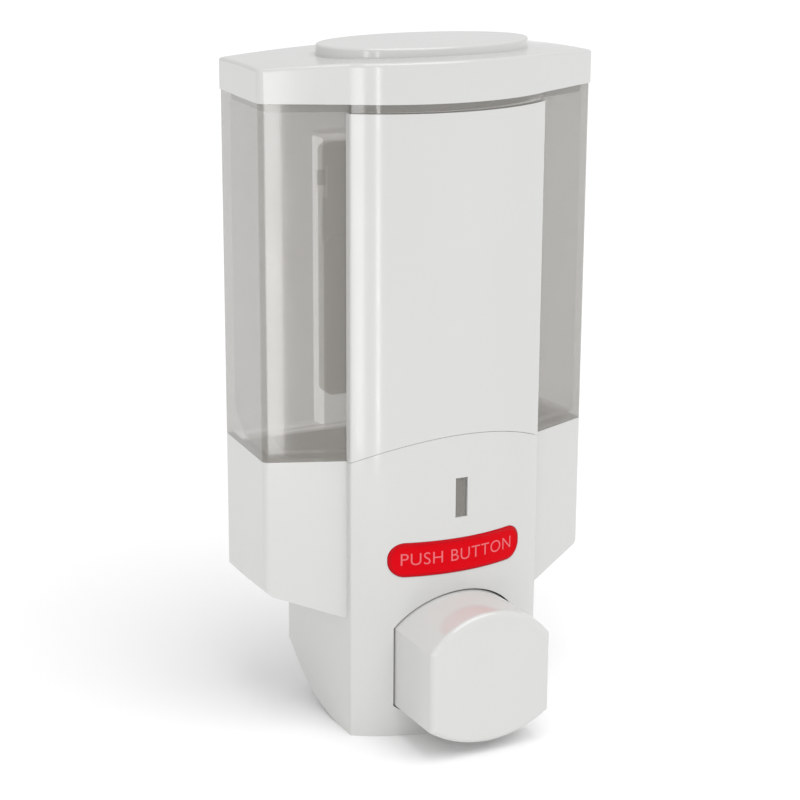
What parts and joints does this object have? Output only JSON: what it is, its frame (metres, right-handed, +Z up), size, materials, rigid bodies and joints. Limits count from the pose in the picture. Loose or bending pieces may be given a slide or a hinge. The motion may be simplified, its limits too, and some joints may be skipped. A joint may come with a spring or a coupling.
{
  "type": "wall mounted soap dispenser",
  "caption": "Wall mounted soap dispenser with a clear faceted tank, white front panel and lid, and a push button piston pump in a casing below.",
  "frame": {"origin": "middle of the wall bracket's back face, on the wall, halfway between its two screw holes", "axes": "+Z up, +Y into the wall, so the front with the button faces -Y; X runs across the symmetrical body"},
  "size_m": [0.1032, 0.0709, 0.1948],
  "materials": {
    "white_abs": "gloss",
    "clear_san": "clear gloss, slightly smoky",
    "red_label": "gloss print",
    "natural_pp": "satin, milky",
    "black_rubber": "matt",
    "spring_steel": "drawn wire",
    "screw_steel": "zinc plated",
    "valve_glass": "polished ball"
  },
  "bodies": {
    "bracket": {"wall_bracket": "white_abs"},
    "housing": {"tank": "clear_san", "front_panel": "white_abs", "lower_casing": "white_abs", "back_cover": "white_abs", "cover_screws": "screw_steel", "label_plate": "red_label", "pump_cylinder": "natural_pp", "cylinder_cap": "natural_pp", "pump_screws": "screw_steel", "inlet_valve_seat": "natural_pp", "outlet_nozzle": "natural_pp", "outlet_valve_spring": "spring_steel", "neck_gasket": "black_rubber", "collar_nut": "natural_pp", "return_spring": "spring_steel"},
    "lid": {"lid": "white_abs"},
    "button": {"push_button": "white_abs", "plunger": "natural_pp", "piston_seals": "black_rubber"},
    "inlet_ball": {"inlet_valve_ball": "valve_glass"},
    "outlet_ball": {"outlet_valve_ball": "valve_glass"}
  },
  "joints": [
    {"name": "body_lift_off", "type": "slide", "parent": "bracket", "child": "housing", "axis": [0, 0, 1], "range_m": [0, 0.008]},
    {"name": "lid_lift_off", "type": "slide", "parent": "housing", "child": "lid", "axis": [0, 0, 1], "range_m": [0, 0.03]},
    {"name": "button_press", "type": "slide", "parent": "housing", "child": "button", "axis": [0, 1, 0], "range_m": [0, 0.01], "stiffness_N_per_m": 500, "springref_m": -0.006, "deforming": ["return_spring"]},
    {"name": "inlet_ball_lift", "type": "slide", "parent": "housing", "child": "inlet_ball", "axis": [0, 0, 1], "range_m": [0, 0.0015]},
    {"name": "outlet_ball_drop", "type": "slide", "parent": "housing", "child": "outlet_ball", "axis": [0, 0, -1], "range_m": [0, 0.0015], "stiffness_N_per_m": 60, "springref_m": -0.003, "deforming": ["outlet_valve_spring"]}
  ]
}
